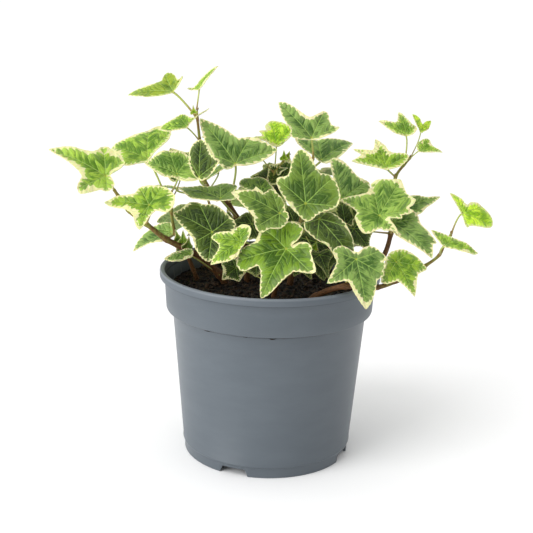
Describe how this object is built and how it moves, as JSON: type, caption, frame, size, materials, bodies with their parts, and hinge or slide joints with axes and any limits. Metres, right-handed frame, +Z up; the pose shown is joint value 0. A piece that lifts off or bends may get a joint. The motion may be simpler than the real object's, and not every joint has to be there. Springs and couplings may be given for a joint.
{
  "type": "potted variegated ivy",
  "caption": "Ivy plant with cream-edged lobed leaves on woody vines, rooted in peat soil in a round plastic nursery pot.",
  "frame": {"origin": "centre of the pot's underside, on the surface it stands on", "axes": "+Z up, the front of the plant looks along -Y, +X to the right seen from the front"},
  "size_m": [0.2522, 0.1512, 0.2287],
  "materials": {
    "pot": "matte blue-grey moulded plastic with faint flow marks",
    "soil": "damp crumbly peat",
    "vine": "thin brown bark, green towards the growing tips",
    "leaf": "waxy green leaf with grey-green patches and a cream margin"
  },
  "bodies": {
    "root": {"leaf_back_1": "leaf", "leaf_back_2": "leaf", "leaf_back_3": "leaf", "leaf_back_left_1": "leaf", "leaf_back_left_2": "leaf", "leaf_back_left_3": "leaf", "leaf_back_right_1": "leaf", "leaf_back_right_2": "leaf", "leaf_back_right_3": "leaf", "leaf_centre_1": "leaf", "leaf_centre_2": "leaf", "leaf_centre_3": "leaf", "leaf_centre_4": "leaf", "leaf_centre_5": "leaf", "leaf_centre_back_1": "leaf", "leaf_centre_back_2": "leaf", "leaf_centre_back_3": "leaf", "leaf_crown_1": "leaf", "leaf_crown_2": "leaf", "leaf_crown_3": "leaf", "leaf_crown_4": "leaf", "leaf_crown_5": "leaf", "leaf_crown_6": "leaf", "leaf_crown_7": "leaf", "leaf_front_1": "leaf", "leaf_front_2": "leaf", "leaf_front_3": "leaf", "leaf_front_4": "leaf", "leaf_front_5": "leaf", "leaf_left_1": "leaf", "leaf_left_2": "leaf", "leaf_left_3": "leaf", "leaf_left_4": "leaf", "leaf_left_inner_1": "leaf", "leaf_left_inner_2": "leaf", "leaf_right_1": "leaf", "leaf_right_2": "leaf", "leaf_right_3": "leaf", "leaf_right_4": "leaf", "leaf_right_5": "leaf", "leaf_right_6": "leaf", "leaf_right_7": "leaf", "leaf_right_8": "leaf", "leaf_right_low_1": "leaf", "leaf_right_low_2": "leaf", "leaf_right_low_3": "leaf", "leaf_right_low_4": "leaf", "pot": "pot", "soil": "soil", "vine_back": "vine", "vine_back_left": "vine", "vine_back_right": "vine", "vine_centre": "vine", "vine_centre_back": "vine", "vine_crown": "vine", "vine_front": "vine", "vine_left": "vine", "vine_left_inner": "vine", "vine_right": "vine", "vine_right_low": "vine"}
  },
  "joints": []
}
